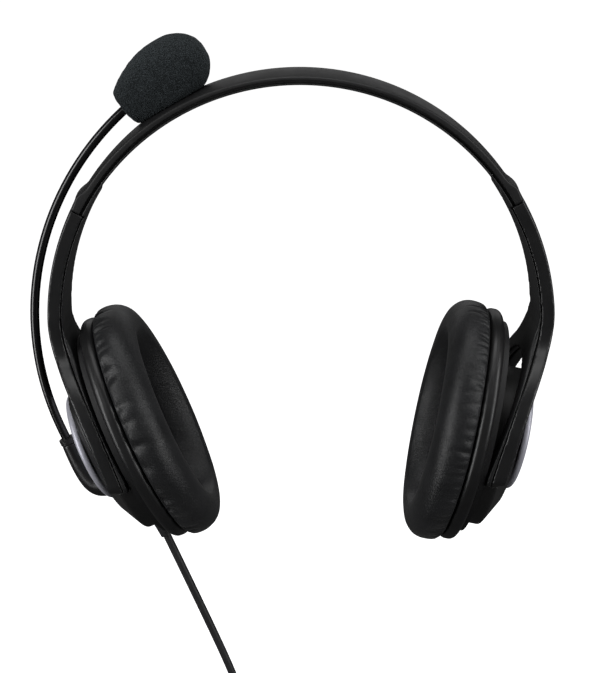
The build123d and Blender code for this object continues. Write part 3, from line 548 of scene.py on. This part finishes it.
def build_elbow():
    """Boom's hub bending up and tapering into the sleeve of its tube."""
    matrix = cup_matrix("left")
    foot, corner, top = (Vector(p) * MM for p in ELBOW_SPINE_MM)
    rows = []
    for i in range(ELBOW_STEPS + 1):
        t = i / ELBOW_STEPS
        middle = foot * (1 - t) ** 2 + corner * 2 * t * (1 - t) + top * t ** 2
        along = ((corner - foot) * (1 - t) + (top - corner) * t).normalized()
        outward = Vector((0, along.z, -along.y))
        radius = (ELBOW_RADII_MM[0] + (ELBOW_RADII_MM[1] - ELBOW_RADII_MM[0]) * t ** 0.8) * MM
        row = []
        for k in range(ELBOW_SIDES):
            turn = 2 * math.pi * k / ELBOW_SIDES
            spoke = Vector((math.cos(turn), 0, 0)) + outward * math.sin(turn)
            row.append(matrix @ (middle + spoke * radius))
        rows.append(row)
    elbow = link("boom_elbow", grid(rows, False, True, cap_ends=True), MATERIALS[ELBOW_SLOT], None)
    melted(elbow, 0.4 * MM, 8)
    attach(elbow, "boom")
    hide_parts("boom_hub", "boom_knuckle")


def cap_profile():
    """Domed cover with fine stepped rings, as (radius, height) from its rim to its centre."""
    base = HOUSING_BACK - 0.1 * MM
    profile = [(CAP_RADIUS - 0.4 * MM, base), (CAP_RADIUS, base - 0.3 * MM), (CAP_RADIUS, base - 1.6 * MM),
               (CAP_RADIUS - 0.35 * MM, base - 2.2 * MM)]
    rings = 14
    for i in range(rings):
        radius = (CAP_RADIUS - 0.6 * MM) * (1 - i / rings)
        height = CAP_HEIGHT - CAP_CROWN * (radius / CAP_RADIUS) ** 2
        step = 0.11 * MM
        profile.append((radius, base - height + step))
        profile.append((radius - 0.16 * MM, base - height))
    profile.append((0.0, base - CAP_HEIGHT))
    return profile


def lathe(profile, matrix, steps):
    rows = []
    for i in range(steps):
        turn = 2 * math.pi * i / steps
        rows.append([matrix @ Vector((r * math.cos(turn), r * math.sin(turn), z)) for r, z in profile])
    return grid(rows, True, False)


def build_cup_shells(side):
    matrix = cup_matrix(side)
    body = side + "_cup"
    cap = link(side + "_cap_disc", lathe(cap_profile(), matrix, 160), MATERIALS["silver_grey"], body)
    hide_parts(side + "_cup_cap")
    housing = moulded([side + "_cup_housing"], side + "_housing",
                      MATERIALS["dark_grey_housing"], SHELL_VOXEL, 5, body)


# ================================================================ ear cushions
def oval_point(half_height, turn):
    """Point of the cup's oval whose outward normal is at this angle."""
    normal = Vector((math.cos(turn), math.sin(turn)))
    tangent_turn = math.atan2(OVAL_END_CENTRE, OVAL_SIDE_CENTRE)
    if abs(normal.x) > math.cos(tangent_turn):
        centre = Vector((-math.copysign(OVAL_SIDE_CENTRE, normal.x), 0))
        return centre + normal * (half_height + 6.7 * MM), normal
    centre = Vector((0, math.copysign(OVAL_END_CENTRE, normal.y)))
    return centre + normal * (half_height - OVAL_END_CENTRE), normal


CUSHION_PROFILE_MM = (              # half height of the oval, height above the seam
    (44.2, 0.3),
    (46.0, 0.4),
    (47.1, 1.9),
    (47.7, 4.5),
    (47.6, 7.4),
    (46.6, 10.1),
    (44.3, 12.5),
    (41.3, 13.9),
    (38.6, 14.4),
    (36.6, 14.2),
    (35.6, 13.8),
    (35.1, 13.3),
    (34.4, 12.3),
    (33.1, 9.9),
    (32.0, 6.4),
    (31.5, 3.4),
    (31.7, 1.0),
    (32.7, 0.3),
)


def pucker_field(seed, spacing, depth, around):
    """Gathers along the outer seam: place, width, depth, reach and slant of each."""
    rng = random.Random(seed)
    gathers = []
    place = 0.0
    while place < around:
        gathers.append((place, spacing * rng.uniform(0.20, 0.34), depth * rng.uniform(0.45, 1.15),
                        rng.uniform(0.55, 1.1), spacing * rng.uniform(-0.35, 0.35)))
        place += spacing * rng.uniform(0.65, 1.4)
    return gathers


def cushion_mesh(side):
    seed, spacing, depth = {"left": (11, 6.4 * MM, 2.3 * MM), "right": (5, 3.2 * MM, 1.25 * MM)}[side]
    matrix = cup_matrix(side)
    profile = smooth_line([(a * MM, b * MM) for a, b in CUSHION_PROFILE_MM], 4)
    gathers = pucker_field(seed, spacing, depth, CUSHION_PERIMETER)
    rows = []
    for i in range(CUSHION_STEPS):
        turn = 2 * math.pi * i / CUSHION_STEPS
        place = CUSHION_PERIMETER * i / CUSHION_STEPS
        row = []
        for half_height, z in profile:
            point, normal = oval_point(half_height, turn)
            offset = 0.0
            if half_height > GATHERS_OUTSIDE:
                near = max(0.0, 1 - z / GATHER_REACH)
                for where, width, size, length, slant in gathers:
                    gap = abs(place - where - slant * z / GATHER_REACH)
                    gap = min(gap, CUSHION_PERIMETER - gap)
                    if gap < 3 * width:
                        fade = max(0.0, 1 - z / (GATHER_REACH * length))
                        dent = size * math.exp(-(gap / width) ** 2)
                        offset -= dent * fade ** 1.3 * smoothstep(0.0, 0.12, fade)
                offset += 0.25 * depth * near
                offset *= smoothstep(0.2 * MM, 1.6 * MM, z)
            probe = Vector((point.x, point.y, z))
            offset += 0.22 * MM * noise.noise(probe * 120 + Vector((seed, 0, 0)))
            row.append(matrix @ Vector((point.x + normal.x * offset, point.y + normal.y * offset, z)))
        rows.append(row)
    return grid(rows, True, False)


def build_cushion(side):
    body = side + "_cup"
    cushion = link(side + "_cushion", cushion_mesh(side), MATERIALS["leatherette"], body)
    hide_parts(side + "_ear_cushion")


# ================================================================ microphone foam
def foam_frame():
    """Foam's own frame: its base centre, and its axis."""
    low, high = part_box("mic_capsule")
    middle = 0.5 * (low + high)
    axis = Vector((math.cos(FOAM_LEAN), 0, math.sin(FOAM_LEAN)))
    base = middle - axis * (22.05 * MM)
    side = Vector((0, 1, 0))
    matrix = Matrix((side, axis.cross(side), axis)).transposed().to_4x4()
    matrix.translation = base
    return matrix


def build_foam():
    matrix = foam_frame()
    profile = smooth_line([(a * MM, b * MM) for a, b in (
        (TUBE_RADIUS / MM + 0.15, 2.4),
        (TUBE_RADIUS / MM + 0.9, 0.5),
        (4.5, -0.1),
        (7.0, 0.25),
        (8.1, 1.6),
        (9.6, 4.6),
        (11.4, 9.0),
        (12.7, 14.5),
        (13.0, 19.5),
        (12.5, 25.0),
        (10.9, 30.0),
        (8.0, 34.0),
        (4.2, 36.5),
        (0.0, 37.0),
    )], 6)
    mesh = lathe(profile, matrix, 144)
    for vertex in mesh.vertices:
        lift = 0.16 * MM * noise.noise(vertex.co * 420) + 0.22 * MM * noise.noise(vertex.co * 130)
        vertex.co += vertex.normal * lift
        spoke = vertex.co - BAND_CENTRE
        across = min(1.0, abs(spoke.y) / HALF_WIDTH)
        spoke.y = 0
        clear = CROWN_RADIUS - FOAM_TOP_DROP * across ** 2 + FOAM_LIES_OFF
        if spoke.length < clear:
            vertex.co += spoke.normalized() * (clear - spoke.length)
    foam = link("mic_windshield", mesh, MATERIALS["foam"], "boom")
    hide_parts("mic_foam")
    middle = matrix @ Vector((0, 0, FOAM_WIDEST))
    outward = middle - BAND_CENTRE
    outward.y = 0
    outward.normalize()
    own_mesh(foam)


# ================================================================ cord
def hank_turns():
    """Centre points of the wound hank: ten turns in five lanes and two layers."""
    layers = (-0.5 * HANK_PITCH, 0.5 * HANK_PITCH)
    points = []
    lanes = [(lane, layers[0]) for lane in range(HANK_LANES)]
    lanes += [(lane, layers[1]) for lane in reversed(range(HANK_LANES))]
    for number, (lane, y) in enumerate(lanes):
        ahead = lanes[min(number + 1, len(lanes) - 1)]
        for step in range(HANK_STEPS):
            t = step / HANK_STEPS
            shift = smoothstep(0.70, 1.0, t)
            fold = HANK_FOLD + HANK_PITCH * (lane + (ahead[0] - lane) * shift)
            depth = y + (ahead[1] - y) * shift
            points.append(racetrack(t, fold, depth))
    return points



def racetrack(t, fold, depth):
    """Point on an upright racetrack; t runs once round from the left middle, going down."""
    corner = (t + 0.25) * 2 * math.pi
    x = -fold * math.sin(corner)
    z = fold * math.cos(corner)
    rise = 0.5 * HANK_STRAIGHT * math.copysign(min(1.0, abs(math.cos(corner)) * 2.6), math.cos(corner))
    return Vector((HANK_X + x, depth, HANK_CENTRE_Z + z + rise))


def build_cord():
    route = [Vector((x * MM, 0, z * MM)) for x, z in CORD_ROUTE_MM]
    outer = HANK_FOLD + (HANK_LANES - 1) * HANK_PITCH
    top = HANK_CENTRE_Z + 0.5 * HANK_STRAIGHT + outer
    front = -5.1 * MM
    inward = ((0.0, 1.0, 23.0), (-1.5, 1.0, 17.0), (-5.0, 0.85, 11.0), (-8.6, 0.55, 5.5))
    enter = [Vector((HANK_X, front, top + 1.2 * MM)), Vector((HANK_X, front, top - 7.0 * MM))]
    enter += [Vector((HANK_X + x * MM, front * y, HANK_CENTRE_Z + z * MM)) for x, y, z in inward]
    leave = [Vector((HANK_X + x * MM, -front * y, HANK_CENTRE_Z - z * MM)) for x, y, z in reversed(inward)]
    bottom = HANK_CENTRE_Z - 0.5 * HANK_STRAIGHT - outer
    leave += [
        Vector((HANK_X, -front, bottom)),
        Vector((HANK_X, -0.4 * front, bottom - 7 * MM)),
        Vector((HANK_X, 0, PLUG_TOP_Z + 6 * MM)),
        Vector((HANK_X, 0, PLUG_TOP_Z - 1 * MM)),
    ]
    points = route + enter + hank_turns() + leave
    curve = bpy.data.curves.new("cord", "CURVE")
    curve.dimensions = "3D"
    spline = curve.splines.new("NURBS")
    spline.points.add(len(points) - 1)
    for control, point in zip(spline.points, points):
        control.co = (*point, 1.0)
    spline.order_u = 3
    spline.use_endpoint_u = True
    spline.resolution_u = 8
    curve.bevel_depth = CORD_RADIUS
    curve.bevel_resolution = 5
    curve.use_fill_caps = True
    curve.materials.append(MATERIALS["cord_rubber"])
    cord = bpy.data.objects.new("cord", curve)
    bpy.context.scene.collection.objects.link(cord)
    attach(cord, "left_cup")
    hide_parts("cord_cable", "cord_hank", "cord_tail")


# ================================================================ stage, light and camera
def build_stage():
    floor_mesh = grid([[Vector((x, y, FLOOR_Z)) for y in (-9.0, 14.0)] for x in (-12.0, 12.0)], False, False)
    surface = Surface("pale_floor", 0.9)
    surface.colours(surface.noise(3, 2), (0.3, (0.90, 0.90, 0.90)), (0.7, (0.93, 0.93, 0.93)))
    surface.shader.inputs["Emission Color"].default_value = (1, 1, 1, 1)
    surface.shader.inputs["Emission Strength"].default_value = 1.0
    floor = link("floor", floor_mesh, surface.material, None)
    floor.visible_glossy = False
    floor.visible_diffuse = False

    world = bpy.data.worlds.new("studio")
    bpy.context.scene.world = world
    world.use_nodes = True
    background = world.node_tree.nodes["Background"]
    background.inputs["Color"].default_value = (1, 1, 1, 1)
    background.inputs["Strength"].default_value = 0.045

    for name, place, size, power in (
        ("top", (0.0, -0.15, 1.1), (1.0, 1.0), 6.0),
        ("left", (-1.1, -0.75, -0.05), (0.5, 1.4), 13.0),
        ("right", (1.1, -0.65, 0.25), (0.5, 1.4), 9.0),
        ("back", (0.0, 1.3, 0.5), (1.6, 0.6), 1.5),
    ):
        light = bpy.data.lights.new(name, "AREA")
        light.shape = "RECTANGLE"
        light.size, light.size_y = size
        light.energy = power
        lamp = bpy.data.objects.new(name, light)
        lamp.location = place
        aim = Vector((0, 0, -0.09)) - Vector(place)
        lamp.rotation_euler = aim.to_track_quat("-Z", "Y").to_euler()
        bpy.context.scene.collection.objects.link(lamp)


def build_camera():
    camera_data = bpy.data.cameras.new("camera")
    camera_data.sensor_fit = "HORIZONTAL"
    camera_data.sensor_width = 36.0
    camera_data.lens = 96.9
    camera = bpy.data.objects.new("camera", camera_data)
    place = Vector((0.0, -0.600, 0.0635))
    aim = Vector((0.0, 0.0, -0.0975))
    look = (aim - place).to_track_quat("-Z", "Y").to_matrix()
    roll = Matrix.Rotation(math.radians(-1.2), 3, "Z")
    camera.matrix_world = Matrix.Translation(place) @ (look @ roll).to_4x4()
    bpy.context.scene.collection.objects.link(camera)
    bpy.context.scene.camera = camera
    bpy.context.scene.view_settings.view_transform = "Standard"


build_stage()
build_camera()
build_headband()
build_arms()
for cup_side in ("left", "right"):
    build_cup_shells(cup_side)
    build_cushion(cup_side)
build_elbow()
build_foam()
build_cord()
